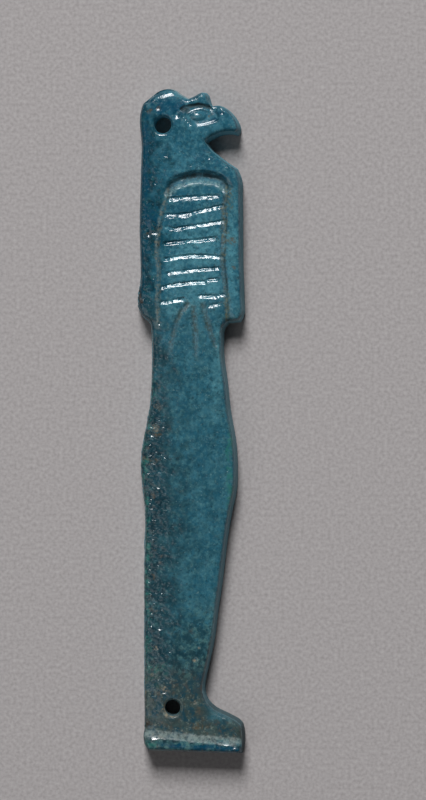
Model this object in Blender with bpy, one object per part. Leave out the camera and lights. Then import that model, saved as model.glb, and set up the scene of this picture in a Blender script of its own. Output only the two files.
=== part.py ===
"""A flat falcon-headed mummy amulet, pressed in an open mould and glazed blue.

It lies on its plain back with the carved side up. +Y runs from the sole to the crest, +X is
the way the falcon looks, and +Z comes out of the carving. The origin is on the back, under
the middle. The figure, its plinth and its two thread holes are one piece of faience.
"""

import math

import bmesh
import bpy
import numpy as np
from mathutils import Vector
from mathutils.geometry import delaunay_2d_cdt, interpolate_bezier

MM = 0.001

# Driving sizes, in millimetres
FIGURE_HEIGHT = 70.0
BODY_THICKNESS = 3.2
CROWN_RISE = 0.32
CROWN_REACH = 4.4
WALL_LEAN = 0.2
FRONT_EDGE_RADIUS = 0.4
BACK_EDGE_HEIGHT = 0.25
BACK_EDGE_INSET = 0.12
HEAD_HOLE_DIAMETER = 1.85
FOOT_HOLE_DIAMETER = 1.65
HOLE_MOUTH_WIDTH = 0.22
HOLE_MOUTH_DROP = 0.16

# Carving, in millimetres
WIG_RISE = 0.16
BORDER_WIDTH = 0.62
BORDER_DEPTH = 0.2
ARCH_WIDTH = 0.84
ARCH_DEPTH = 0.48
STROKE_PITCH = 1.5
STROKE_WIDTH = 0.62
STROKE_DEPTH = 0.3
STROKE_END_GAP = 0.55
FOLD_WIDTH = 0.5
FOLD_DEPTH = 0.18
CREASE_WIDTH = 0.45
CREASE_DEPTH = 0.1
SOCKET_WALL = 0.3
SOCKET_DEPTH = 0.34
EYEBALL_RISE = 0.36
PLINTH_HEIGHT = 1.28
PLINTH_SLOPE = 0.88
PLINTH_RISE = 0.36
PLINTH_TILT = -4.2

# How closely points are set, in millimetres
HEAD_STEP = 0.5
BODY_STEP = 0.95
CARVING_STEP = 0.72
FILL_STEP = 1.25
STATIONS_PER_STEP = 3
LEAST_GAP = 0.17
FILL_GAP_SHARE = 0.6
CLEAR_RING_SHARE = 0.96
HOLE_SIDES = 20
EYEBALL_RINGS = ((1.0, 14), (0.7, 10), (0.0, 1))

# The outline as the eye reads it, counter-clockwise from the heel. Every point of the figure
# is in hundredths of its height: x across from the middle line, y up from the sole.
SOLE = ((-6.4, 0.35), (7.85, 0.0))
TOE = ((7.85, 0.0), (8.08, 1.5), (8.08, 3.2), (7.85, 4.5), (7.2, 5.2))
INSTEP_TO_ELBOW = (
    (7.2, 5.2), (5.5, 6.15), (3.8, 6.95), (2.6, 8.2), (2.15, 9.6), (2.6, 12.5),
    (3.5, 16.6), (4.3, 22.5), (4.9, 27.0), (5.6, 32.5), (6.35, 37.0), (6.9, 39.5),
    (7.05, 42.8), (6.7, 47.5), (5.95, 51.8), (5.55, 55.8), (5.05, 59.5), (5.0, 62.4),
    (5.15, 63.9), (5.75, 64.65),
)
FRONT_ELBOW = ((5.75, 64.65), (7.5, 64.8))
FRONT_ARM = (
    (7.5, 64.8), (7.93, 65.5), (8.02, 68.5), (7.87, 74.5), (7.8, 83.0), (7.65, 86.6),
    (7.1, 87.9),
)
THROAT = ((7.1, 87.9), (5.0, 89.35), (3.2, 90.9), (2.6, 91.8))
BEAK_UNDERSIDE = (
    (2.6, 91.8), (3.3, 92.3), (4.3, 92.8), (5.3, 93.05), (6.3, 93.1), (7.15, 92.9),
)
BEAK = (
    (7.15, 92.9), (7.48, 93.5), (7.42, 94.3), (7.1, 95.1), (6.3, 96.25), (5.4, 97.05), (4.4, 97.5),
    (3.3, 97.35),
)
BROW = (
    (3.3, 97.35), (3.05, 98.0), (2.85, 98.8), (2.35, 99.4), (1.7, 99.5), (0.7, 98.95),
    (-0.25, 98.5),
)
CREST = (
    (-0.25, 98.5), (-1.6, 99.3), (-2.4, 99.85), (-3.4, 100.0), (-4.5, 99.75),
    (-6.1, 98.6), (-7.2, 97.7),
)
BACK_OF_WIG = (
    (-7.2, 97.7), (-7.46, 97.1), (-7.46, 91.0), (-7.65, 86.0), (-7.8, 79.0),
    (-7.65, 72.5), (-7.65, 70.6),
)
BACK_ELBOW = (
    (-7.65, 70.6), (-8.03, 68.6), (-7.85, 66.7), (-7.3, 65.6), (-6.5, 65.0),
    (-6.05, 64.3),
)
BACK_OF_LEGS = (
    (-6.05, 64.3), (-5.93, 62.4), (-5.97, 57.0), (-6.25, 52.3), (-6.9, 48.6),
    (-7.5, 45.3), (-7.6, 43.2), (-7.4, 40.2), (-7.0, 37.2), (-6.95, 34.5),
    (-7.1, 28.5), (-7.1, 16.0), (-7.05, 3.6),
)
HEEL = ((-7.05, 3.6), (-7.23, 2.6), (-7.05, 1.5), (-6.4, 0.35))
STRETCHES = (
    (SOLE, BODY_STEP), (TOE, HEAD_STEP), (INSTEP_TO_ELBOW, BODY_STEP),
    (FRONT_ELBOW, HEAD_STEP), (FRONT_ARM, BODY_STEP), (THROAT, HEAD_STEP),
    (BEAK_UNDERSIDE, HEAD_STEP), (BEAK, HEAD_STEP), (BROW, HEAD_STEP), (CREST, HEAD_STEP),
    (BACK_OF_WIG, BODY_STEP), (BACK_ELBOW, HEAD_STEP), (BACK_OF_LEGS, BODY_STEP),
    (HEEL, HEAD_STEP),
)

HEAD_HOLE = (-4.06, 94.35)
FOOT_HOLE = (-2.55, 7.05)

# The line cut round the breast: up the back of it, over the arch and down its front
BACK_BORDER = (
    (-4.7, 64.8), (-4.75, 69.0), (-4.9, 74.2), (-4.75, 76.4), (-4.35, 79.2), (-3.7, 83.1),
    (-3.2, 84.7),
)
ARCH = (
    (-3.2, 84.7), (-2.6, 85.55), (-1.6, 86.2), (-0.1, 86.7), (1.8, 87.0), (3.4, 86.7),
    (4.7, 85.9), (5.35, 84.7),
)
FRONT_BORDER = (
    (5.35, 84.7), (5.55, 82.3), (5.45, 79.3), (5.2, 75.4), (4.9, 72.2), (5.1, 70.0),
    (5.35, 67.9), (5.6, 65.3),
)
# The middle of the lowest collar stroke, and how each stroke, counted up from it, leans in
# degrees and bows up between its ends
LOWEST_STROKE = (0.5, 68.55)
STROKES = (
    (5.5, 0.0), (7.5, 0.0), (7.5, 0.0), (3.5, 0.35), (6.5, -0.1), (8.0, -0.25), (8.5, -0.4),
    (4.5, 0.0),
)
# The folded linen that hangs from the hands
LINEN_FOLDS = (
    ((-1.0, 67.5), (-1.7, 66.4), (-2.1, 64.8), (-2.7, 62.7), (-3.2, 60.65)),
    ((0.4, 66.9), (0.6, 64.4), (0.8, 61.75), (1.05, 58.25)),
    ((1.8, 67.3), (2.6, 64.7), (3.2, 63.2), (3.8, 61.45)),
)
SHOULDER_CREASE = ((-6.3, 79.6), (-5.8, 78.9), (-4.9, 78.4))
# The eye socket, counter-clockwise from its outer corner along the lower lid
SOCKET = (
    (-1.1, 95.4), (-0.35, 94.55), (0.6, 93.95), (2.1, 93.95), (3.3, 94.35), (4.2, 94.95),
    (3.7, 95.9), (3.1, 96.6), (2.4, 97.05), (1.1, 97.15), (0.0, 96.8), (-0.7, 96.2),
    (-1.1, 95.4),
)
EYEBALL = (1.45, 95.6)
EYEBALL_HALF_SIZE = (1.4, 0.75)

GLAZE_COLOUR = (0.03, 0.19, 0.25, 1.0)
GLAZE_ROUGHNESS = 0.22

HUNDREDTH = FIGURE_HEIGHT / 100.0
MIDDLE = (0.0, 50.0)
SHOULDER_INSET = WALL_LEAN + FRONT_EDGE_RADIUS


def placed(points):
    """Points in hundredths of the figure's height, as millimetres from the part's middle."""
    shares = np.atleast_2d(np.array(points, float))
    return (shares - MIDDLE) * HUNDREDTH


def smooth_line(points, step):
    """Points at most a step apart on one smooth curve through the given ones."""
    spans = np.diff(points, axis=0)
    lengths = np.linalg.norm(spans, axis=1)[:, None]
    slopes = spans / lengths
    inner = (slopes[:-1] * lengths[1:] + slopes[1:] * lengths[:-1]) / (lengths[:-1] + lengths[1:])
    tangents = np.vstack((slopes[:1], inner, slopes[-1:]))
    line = [points[0]]
    for i, length in enumerate(lengths[:, 0]):
        reach = length / 3.0
        curve = interpolate_bezier(
            Vector(points[i]),
            Vector(points[i] + tangents[i] * reach),
            Vector(points[i + 1] - tangents[i + 1] * reach),
            Vector(points[i + 1]),
            math.ceil(length / step) + 1,
        )
        line += [np.array(p) for p in curve[1:]]
    return np.array(line)


def outline():
    """The figure's edge as one closed loop of points, counter-clockwise."""
    loop = [smooth_line(placed(points), step)[:-1] for points, step in STRETCHES]
    return np.vstack(loop)


def circle(centre, radius, sides=HOLE_SIDES):
    """Points round a circle, counter-clockwise."""
    turns = np.arange(sides) * (math.tau / sides)
    return centre + radius * np.column_stack((np.cos(turns), np.sin(turns)))


def ellipse(centre, half_size, sides):
    """Points round an ellipse, counter-clockwise."""
    return centre + circle((0.0, 0.0), 1.0, sides) * half_size


def distance(points, line, closed=False):
    """How far each point is from a line of points."""
    if closed:
        line = np.vstack((line, line[:1]))
    start, along = line[:-1], np.diff(line, axis=0)
    share = ((points[:, None] - start) * along).sum(axis=2) / (along**2).sum(axis=1)
    nearest = start + np.clip(share, 0.0, 1.0)[..., None] * along
    return np.linalg.norm(points[:, None] - nearest, axis=2).min(axis=1)


def inside(points, loop):
    """Which points lie inside a closed loop: a ray to the right crosses it an odd number of times."""
    a, b = loop, np.roll(loop, -1, axis=0)
    x, y = points[:, :1], points[:, 1:]
    spans = (a[:, 1] > y) != (b[:, 1] > y)
    rise = np.where(a[:, 1] == b[:, 1], 1.0, b[:, 1] - a[:, 1])
    crossing = a[:, 0] + (y - a[:, 1]) * (b[:, 0] - a[:, 0]) / rise
    return (spans & (x < crossing)).sum(axis=1) % 2 == 1


def to_left(spans):
    """The unit vector to the left of each span."""
    left = np.column_stack((-spans[:, 1], spans[:, 0]))
    return left / np.linalg.norm(left, axis=1)[:, None]


def inset(loop, width):
    """A closed counter-clockwise loop moved inwards, with mitred corners."""
    after = to_left(np.roll(loop, -1, axis=0) - loop)
    before = np.roll(after, 1, axis=0)
    mitre = (before + after) / (1.0 + (before * after).sum(axis=1))[:, None]
    return loop + mitre * width


def smooth_step(share):
    """A rise from 0 to 1 that starts and ends level."""
    share = np.clip(share, 0.0, 1.0)
    return share * share * (3.0 - 2.0 * share)


class Carving:
    """The figure's lines in millimetres, and the height of its front over any point."""

    def __init__(self):
        self.edge = outline()
        self.holes = (
            (placed(HEAD_HOLE)[0], HEAD_HOLE_DIAMETER / 2.0),
            (placed(FOOT_HOLE)[0], FOOT_HOLE_DIAMETER / 2.0),
        )
        self.back_border, self.arch, self.front_border = (
            smooth_line(placed(line), CARVING_STEP) for line in (BACK_BORDER, ARCH, FRONT_BORDER)
        )
        self.border = np.vstack((self.back_border, self.arch[1:], self.front_border[1:]))
        self.strokes = [self.stroke(i, lean, bow) for i, (lean, bow) in enumerate(STROKES)]
        self.folds = [smooth_line(placed(fold), CARVING_STEP) for fold in LINEN_FOLDS]
        self.crease = smooth_line(placed(SHOULDER_CREASE), CARVING_STEP)
        self.socket = smooth_line(placed(SOCKET), HEAD_STEP)[:-1]
        self.eyeball = placed(EYEBALL)[0]
        self.eyeball_half_size = np.array(EYEBALL_HALF_SIZE) * HUNDREDTH

    def stroke(self, index, lean, bow):
        """One collar stroke, counted up from the lowest, clipped to the breast at both ends."""
        middle = placed(LOWEST_STROKE)[0] + (0.0, index * STROKE_PITCH)
        slant = math.tan(math.radians(lean))
        half_span = np.ptp(self.border[:, 0]) / 2.0
        stations = math.ceil(2.0 * half_span / CARVING_STEP) * STATIONS_PER_STEP + 1
        off_middle = np.linspace(-half_span, half_span, stations)
        rise = off_middle * slant + bow * HUNDREDTH * (1.0 - (off_middle / half_span) ** 2)
        line = middle + np.column_stack((off_middle, rise))
        clear = inside(line, self.border) & (distance(line, self.border) > STROKE_END_GAP)
        return line[clear][::STATIONS_PER_STEP]

    def grooves(self):
        """Every cut line with its width and depth."""
        yield self.arch, ARCH_WIDTH, ARCH_DEPTH
        yield self.back_border, BORDER_WIDTH, BORDER_DEPTH
        yield self.front_border, BORDER_WIDTH, BORDER_DEPTH
        for line in self.strokes:
            yield line, STROKE_WIDTH, STROKE_DEPTH
        for line in self.folds:
            yield line, FOLD_WIDTH, FOLD_DEPTH
        yield self.crease, CREASE_WIDTH, CREASE_DEPTH

    def plinth_top(self, x):
        """Where the plinth's front face ends, up the figure, over a point across it."""
        sole = placed(SOLE)
        across = (x - sole[0, 0]) / (sole[1, 0] - sole[0, 0])
        level = sole[:, 1].mean() + PLINTH_HEIGHT
        return level + (across - 0.5) * np.ptp(sole[:, 0]) * math.tan(math.radians(PLINTH_TILT))

    def relief(self, points, edge_gap):
        """The height of the front, before its edge is rounded."""
        x, y = points.T
        reach = np.clip(edge_gap / CROWN_REACH, 0.0, 1.0)
        height = BODY_THICKNESS + CROWN_RISE * (1.0 - (1.0 - reach) ** 2)
        on_breast = inside(points, self.border)
        above_elbows = smooth_step((y - placed(FRONT_ELBOW)[0, 1]) / BORDER_WIDTH)
        height += np.where(on_breast, 0.0, WIG_RISE * above_elbows)
        cuts = [
            depth * np.clip(1.0 - 2.0 * distance(points, line) / width, 0.0, 1.0)
            for line, width, depth in self.grooves()
        ]
        height -= np.max(cuts, axis=0)
        in_socket = inside(points, self.socket)
        wall = np.clip(distance(points, self.socket, closed=True) / SOCKET_WALL, 0.0, 1.0)
        height -= np.where(in_socket, SOCKET_DEPTH * wall, 0.0)
        off_centre = (((points - self.eyeball) / self.eyeball_half_size) ** 2).sum(axis=1)
        height += EYEBALL_RISE * np.sqrt(np.clip(1.0 - off_centre, 0.0, 1.0))
        below = self.plinth_top(x) + PLINTH_SLOPE - y
        height += PLINTH_RISE * np.clip(below / PLINTH_SLOPE, 0.0, 1.0)
        for centre, radius in self.holes:
            from_wall = np.linalg.norm(points - centre, axis=1) - radius
            height -= HOLE_MOUTH_DROP * np.clip(1.0 - from_wall / HOLE_MOUTH_WIDTH, 0.0, 1.0) ** 2
        return height

    def height(self, points):
        """The height of the front sheet: the leaning wall, its rounded edge, then the relief."""
        gap = distance(points, self.edge, closed=True)
        full = self.relief(points, gap)
        wall_top = full - FRONT_EDGE_RADIUS
        up_wall = BACK_EDGE_HEIGHT + (wall_top - BACK_EDGE_HEIGHT) * gap / WALL_LEAN
        from_front = np.clip(SHOULDER_INSET - gap, 0.0, FRONT_EDGE_RADIUS)
        rounded = wall_top + np.sqrt(FRONT_EDGE_RADIUS**2 - from_front**2)
        return np.where(gap < WALL_LEAN, up_wall, rounded)


def rows_along(line, width):
    """A groove's middle and its two lips, each a row of points."""
    left = to_left(np.gradient(line, axis=0)) * width / 2.0
    return (line, line + left, line - left)


def front_points(carving):
    """Points over the front: those of the carving come first, and fill only where there is room."""
    edge = carving.edge
    rows = []
    for width in (WALL_LEAN, (WALL_LEAN + SHOULDER_INSET) / 2.0, SHOULDER_INSET):
        ring = inset(edge, width)
        rows.append(ring[distance(ring, edge, closed=True) > width * CLEAR_RING_SHARE])
    for centre, radius in carving.holes:
        rows.append(circle(centre, radius + HOLE_MOUTH_WIDTH))
    for line, width, _ in carving.grooves():
        rows += rows_along(line, width)
    rows.append(carving.socket)
    rows.append(inset(carving.socket, SOCKET_WALL))
    for share, sides in EYEBALL_RINGS:
        rows.append(ellipse(carving.eyeball, carving.eyeball_half_size * share, sides))
    across = np.arange(edge[:, 0].min(), edge[:, 0].max(), CARVING_STEP)
    for share in (0.0, 0.5, 1.0):
        rows.append(np.column_stack((across, carving.plinth_top(across) + PLINTH_SLOPE * share)))
    fixed = [edge] + [circle(*hole) for hole in carving.holes]
    kept = np.vstack(fixed)
    for row in rows:
        kept = with_room(kept, row, carving, LEAST_GAP)
    return with_room(kept, fill_grid(edge), carving, FILL_STEP * FILL_GAP_SHARE), fixed


def fill_grid(edge):
    """Points of an even triangular grid over the outline's box."""
    low, high = edge.min(axis=0), edge.max(axis=0)
    rise = FILL_STEP * math.sqrt(3.0) / 2.0
    rows = []
    for i, y in enumerate(np.arange(low[1], high[1], rise)):
        across = np.arange(low[0] + (i % 2) * FILL_STEP / 2.0, high[0], FILL_STEP)
        rows.append(np.column_stack((across, np.full(len(across), y))))
    return np.vstack(rows)


def with_room(kept, row, carving, gap):
    """The kept points and those of the row that stand clear of them, of the edge and of the holes."""
    row = row[inside(row, carving.edge)]
    for centre, radius in carving.holes:
        row = row[np.linalg.norm(row - centre, axis=1) > radius + LEAST_GAP / 2.0]
    for point in row:
        if np.linalg.norm(kept - point, axis=1).min() > gap:
            kept = np.vstack((kept, point))
    return kept


def front_triangles(points, loops, carving):
    """The front sheet's triangles, kept inside the edge and outside the holes."""
    borders = []
    start = 0
    for loop in loops:
        count = len(loop)
        borders += [(start + i, start + (i + 1) % count) for i in range(count)]
        start += count
    vertices, _, faces, *_ = delaunay_2d_cdt([Vector(p) for p in points], borders, [], 0, 1e-6)
    flat = np.array([tuple(v) for v in vertices])
    faces = np.array(faces)
    middles = flat[faces].mean(axis=1)
    keep = inside(middles, carving.edge)
    for hole in carving.holes:
        keep &= ~inside(middles, circle(*hole))
    return flat, faces[keep]


def solid(carving):
    """The amulet as one closed mesh: the carved front, its edge and bores, and the flat back."""
    points, loops = front_points(carving)
    flat, faces = front_triangles(points, loops, carving)
    sheet = np.column_stack((flat, carving.height(flat))) * MM
    shape = bmesh.new()
    vertices = [shape.verts.new(point) for point in sheet]
    for face in faces:
        shape.faces.new([vertices[i] for i in face])
    rim = [edge for edge in shape.edges if edge.is_boundary]
    pulled = bmesh.ops.extrude_edge_only(shape, edges=rim)["geom"]
    back_edge = inset(carving.edge, BACK_EDGE_INSET) * MM
    for vertex in (item for item in pulled if isinstance(item, bmesh.types.BMVert)):
        gaps = np.linalg.norm(carving.edge * MM - vertex.co.xy, axis=1)
        nearest = int(gaps.argmin())
        if gaps[nearest] < LEAST_GAP * MM / 4.0:
            vertex.co.xy = back_edge[nearest]
        vertex.co.z = 0.0
    back_rim = [edge for edge in shape.edges if edge.is_boundary]
    bmesh.ops.triangle_fill(shape, edges=back_rim, use_beauty=True)
    bmesh.ops.recalc_face_normals(shape, faces=shape.faces)
    mesh = bpy.data.meshes.new("falcon_headed_amulet")
    shape.to_mesh(mesh)
    shape.free()
    return mesh


def blue_glaze():
    material = bpy.data.materials.new("blue_glazed_faience")
    material.use_nodes = True
    shader = material.node_tree.nodes["Principled BSDF"]
    shader.inputs["Base Color"].default_value = GLAZE_COLOUR
    shader.inputs["Roughness"].default_value = GLAZE_ROUGHNESS
    shader.inputs["Metallic"].default_value = 0.0
    return material


def build():
    for old in list(bpy.data.objects):
        bpy.data.objects.remove(old, do_unlink=True)
    mesh = solid(Carving())
    mesh.materials.append(blue_glaze())
    mesh.shade_smooth()
    mesh.set_sharp_from_angle(angle=math.radians(50.0))
    amulet = bpy.data.objects.new("falcon_headed_amulet", mesh)
    bpy.context.scene.collection.objects.link(amulet)


build()
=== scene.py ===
"""A falcon-headed amulet of blue glazed faience, lying on a pale board under soft studio light.

Lengths are in millimetres until they reach a mesh. A place on the figure is (u, v) in
hundredths of its height: u across from the middle line, v up from the sole.
"""

import math

import bpy
import numpy as np
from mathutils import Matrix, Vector, noise
from mathutils.geometry import interpolate_bezier


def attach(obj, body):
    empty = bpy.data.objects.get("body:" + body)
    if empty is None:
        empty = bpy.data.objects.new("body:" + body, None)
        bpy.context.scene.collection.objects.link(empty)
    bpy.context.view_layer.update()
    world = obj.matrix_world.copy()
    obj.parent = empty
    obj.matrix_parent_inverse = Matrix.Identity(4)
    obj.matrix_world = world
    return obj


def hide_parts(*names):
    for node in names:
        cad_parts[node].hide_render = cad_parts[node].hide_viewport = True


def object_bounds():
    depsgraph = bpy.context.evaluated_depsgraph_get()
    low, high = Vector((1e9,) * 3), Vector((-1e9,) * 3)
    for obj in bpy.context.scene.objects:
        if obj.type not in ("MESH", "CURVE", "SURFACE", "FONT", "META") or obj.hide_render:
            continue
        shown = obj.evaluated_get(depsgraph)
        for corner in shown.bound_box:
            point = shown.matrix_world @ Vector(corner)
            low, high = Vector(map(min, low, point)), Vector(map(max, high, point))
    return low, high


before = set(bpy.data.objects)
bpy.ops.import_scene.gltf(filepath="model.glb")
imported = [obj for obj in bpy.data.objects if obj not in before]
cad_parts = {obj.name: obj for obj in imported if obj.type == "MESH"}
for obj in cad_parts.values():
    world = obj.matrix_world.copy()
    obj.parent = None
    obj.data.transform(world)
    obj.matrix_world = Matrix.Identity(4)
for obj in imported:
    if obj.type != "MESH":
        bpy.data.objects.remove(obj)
CAD_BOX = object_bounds()

METRE = 1000.0
FIGURE_HEIGHT = (CAD_BOX[1].y - CAD_BOX[0].y) * METRE
HUNDREDTH = FIGURE_HEIGHT / 100.0

# How finely the form is worked, in millimetres, and how few faces its walls and back keep
FORM_GRAIN = 0.108
PLAIN_SHARE = 0.18
LINE_STEP = 0.25
MERGE_GAP = 0.001
MARGIN = 0.2  # what is taken round a line beyond the width of its cut or stain

# How far up a face looks, as its normal's z: more is the front, and less is a wall or the back
FRONT_FACING = 0.3
PLAIN_FACING = 0.15
ALL_FRONT_FACING = 0.5
LOWEST_FRONT = 1.5  # the front lies above this height, in millimetres

# The camera stands over the figure and a little to its right. Its lengths are in metres
CAMERA_HEIGHT = 0.45
CAMERA_TILT = math.radians(3.2)
CAMERA_AIM = Vector((0.00227, 0.00219, 0.0))
PICTURE_SPAN = 0.08442

# Lines of the carving. Each runs so that its first wall lies to the left
BACK_BORDER = (
    (-4.7, 64.2), (-4.8, 67.9), (-4.7, 70.7), (-4.6, 72.5), (-4.9, 75.5), (-4.8, 77.0),
    (-4.5, 79.3), (-4.2, 81.0), (-3.7, 82.6), (-3.25, 84.5),
)
ARCH = (
    (-3.25, 84.55), (-2.85, 85.3), (-1.8, 85.95), (-0.45, 86.35), (1.15, 86.6), (3.0, 86.5),
    (4.7, 86.0), (5.5, 85.2),
)
FRONT_BORDER = (
    (5.5, 85.2), (5.5, 83.6), (5.2, 82.3), (5.3, 80.0), (5.2, 77.0), (5.0, 74.4), (5.2, 72.2),
    (5.5, 68.8), (5.55, 66.9), (5.65, 65.05),
)
STROKES = (
    ((-4.2, 67.85), (-2.6, 68.1), (-1.0, 68.4)),
    ((1.5, 68.8), (3.0, 68.75), (5.1, 69.0)),
    ((2.2, 67.5), (3.2, 67.35), (4.4, 67.6)),
    ((-4.2, 70.1), (-2.25, 70.5), (0.2, 70.8), (2.2, 70.9)),
    ((2.75, 71.2), (4.1, 71.35)),
    ((-3.2, 72.25), (-0.75, 72.55), (2.25, 72.85), (4.35, 73.0)),
    ((-3.75, 74.3), (-2.05, 74.6), (-0.35, 74.8), (2.25, 74.85), (4.9, 74.6)),
    ((-3.55, 76.75), (-0.35, 77.05), (2.25, 77.3), (3.85, 77.5)),
    ((-3.3, 79.1), (-2.25, 78.85), (-0.75, 79.1), (2.25, 79.55), (5.0, 80.0)),
    ((-3.7, 81.0), (-1.95, 80.95), (-0.45, 81.05), (1.05, 81.4), (3.0, 81.9), (5.0, 82.3)),
    ((-3.1, 83.35), (0.45, 83.6), (4.15, 83.8)),
)
SECOND_EDGES = (
    ((-2.6, 82.95), (0.45, 83.15), (4.0, 83.4)),
    ((-3.3, 80.5), (-1.9, 80.45), (-0.2, 80.7)),
)
LINEN_FOLDS = (
    ((-0.3, 67.6), (-1.05, 66.7), (-1.65, 65.65), (-2.2, 64.15), (-2.65, 62.05), (-3.1, 60.2)),
    ((0.5, 67.0), (0.75, 64.3), (0.9, 61.3), (1.0, 58.1)),
    ((1.95, 67.4), (2.55, 65.05), (3.15, 63.1), (3.85, 61.3)),
)
SOCKET = (
    (-0.7, 95.7), (-0.3, 95.3), (0.25, 94.65), (0.8, 94.2), (1.5, 94.12), (2.3, 94.24),
    (3.2, 94.48), (4.1, 94.78), (4.5, 95.4), (4.2, 96.2), (3.3, 96.9), (2.0, 97.15),
    (0.8, 97.15), (-0.2, 96.95), (-0.7, 96.4), (-0.7, 95.7),
)
BROW = ((-1.2, 96.6), (-0.8, 96.85), (-0.3, 97.0), (0.8, 97.18), (2.0, 97.18), (3.0, 96.98))
UPPER_LID = ((-0.2, 96.0), (0.4, 96.32), (1.2, 96.58), (2.0, 96.62), (2.7, 96.4))
EYEBALL = (1.26, 95.63)
EYEBALL_HALF_SIZE = (1.14, 0.64)
FLAT_OF_BEAK = (
    (3.1, 96.9), (3.9, 96.8), (4.85, 96.35), (5.7, 95.75), (6.3, 95.0), (5.7, 94.6),
    (4.6, 95.2), (3.6, 95.5), (3.1, 96.9),
)
CREST_BEVEL = ((-5.3, 97.9), (-3.76, 98.35), (-2.7, 98.6), (-1.8, 98.8))
SHOULDER_CREASE = ((-6.3, 79.1), (-5.8, 78.2), (-5.0, 78.1))
PLINTH_EDGE = ((-6.9, 2.38), (-3.76, 2.27), (0.6, 1.85), (4.4, 1.47), (7.3, 1.2))
PLINTH_SLOPE = ((-6.9, 3.42), (-3.76, 3.23), (0.6, 2.71), (4.4, 2.41), (7.3, 2.2))
MIDDLE_OF_BEAK = (4.6, 95.9)
HEAD_CARVING = ((-5.4, 93.5), (5.8, 99.6))  # two corners of the box that holds it
FOOT_HOLE = (-2.56, 7.11)
FOOT_HOLE_HALF = 0.86  # in millimetres

# Cuts, in millimetres: depth, widths of the walls to the left and right of the line, and how far
# the line wavers. A depth below 0 leaves a ridge
STROKE_CUT = (0.16, (0.13, 0.33), 0.08)
SECOND_EDGE_CUT = (0.05, (0.08, 0.14), 0.11)
ARCH_CUT = (0.62, (0.66, 0.74), 0.05)
BACK_BORDER_CUT = (-0.05, (0.2, 0.25), 0.05)
FRONT_BORDER_CUT = (0.14, (0.25, 0.22), 0.05)
FOLD_CUT = (0.1, (0.3, 0.3), 0.05)
BROW_CUT = (0.26, (0.28, 0.16), 0.03)
UPPER_LID_CUT = (-0.07, (0.15, 0.12), 0.02)
PLINTH_EDGE_CUT = (-0.035, (0.18, 0.18), 0.1)
CREASE_CUT = (0.05, (0.2, 0.25), 0.05)
# The arch is cut less towards its ends: u, share of its depth
ARCH_FADE = (-3.4, -2.2, -0.4, 2.6, 4.4, 5.7), (0.25, 0.6, 1.0, 0.95, 0.7, 0.35)

# The solid's own coarser carving is smoothed away first: how far round a line or a place, in
# millimetres, and in how many passes
BREAST_FILL = (0.6, 1500)
EYE_FILL = (0.5, 1500)
BEAK_FILL = (1.6, 600)
FOLD_FILL = (0.5, 200)
PLINTH_FILL = (0.75, 600)
CREASE_FILL = (0.45, 200)

# Hollows and swells, in millimetres
BREAST_SINK, BREAST_WALL = 0.12, 0.35
SOCKET_SINK, SOCKET_WALL = 0.085, 0.22
EYE_REACH = 3.2
EYEBALL_RISE = (0.0, 1.3, 3.2), (0.2, -0.03, 0.0)  # square of the share of its half size, rise
BEVEL_TOP, BEVEL_FALL = (0.35, 0.15), (0.3, 0.75)  # width, slope
BEVEL_REACH = 1.0
CUT_UNEVENNESS = 0.5  # a share of the cut's depth

# Heights where something begins or ends, and over how much it fades, both in hundredths
BREAST_FOOT = (65.0, 6.0)
WAIST = (65.0, 5.0)
FOLDS_END = (58.0, 5.0)
CHIN = (92.0, 2.0)
ANKLE = (12.0, 17.0)
FOOT_TOP = (8.5, 7.0)
PLINTH_TOP = (1.8, 1.0)
INSTEP_FOOT, INSTEP_TOP = (4.2, 1.6), (8.5, 2.0)
INSTEP_BACK = (1.6, 1.8)  # a u, and not a height
FOOT_WALL_TOP = (10.0, 3.0)  # this one fades downwards
CREST_WALL_FOOT = 94.5

# Dents in the glaze: (u, v, radius, depth in millimetres)
DENTS = (
    (-1.95, 95.85, 0.55, 0.13), (-0.95, 95.45, 0.26, 0.08), (-0.66, 95.08, 0.26, 0.09),
    (-0.36, 94.72, 0.26, 0.09), (-0.02, 94.4, 0.26, 0.08), (3.05, 96.8, 0.24, 0.07),
    (3.9, 96.55, 0.24, 0.07), (4.9, 96.1, 0.24, 0.07), (-0.22, 88.3, 0.16, 0.06),
    (0.23, 88.2, 0.16, 0.06), (-5.1, 85.6, 0.25, 0.08), (-4.45, 85.7, 0.16, 0.06),
    (-4.9, 84.4, 0.18, 0.06),
    (-7.0, 79.3, 0.3, 0.1), (-6.1, 77.95, 0.35, 0.1), (-4.6, 96.85, 0.4, 0.05),
    (-6.05, 96.4, 0.3, 0.04), (-5.9, 68.1, 0.2, 0.08), (-4.6, 64.6, 0.2, 0.08),
    (5.6, 42.6, 0.22, 0.08), (2.0, 52.6, 0.16, 0.06), (6.6, 70.0, 0.16, 0.05),
    (3.35, 7.35, 0.3, 0.12), (-3.6, 9.5, 0.3, 0.1), (0.95, 7.9, 0.22, 0.08),
)
# Small dents at random: how many, from and to which v and u, and their radii and depths
RANDOM_DENTS, RANDOM_SEED = 190, 7
DENTED_HEIGHTS = (3.0, 90.0)
DENTED_ANYWHERE, DENTED_BACK, SHARE_ANYWHERE = (-7.5, 7.0), (-7.5, -3.0), 0.3
DENT_RADII, DENT_DEPTHS = (0.12, 0.2), (0.03, 0.07)

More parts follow.
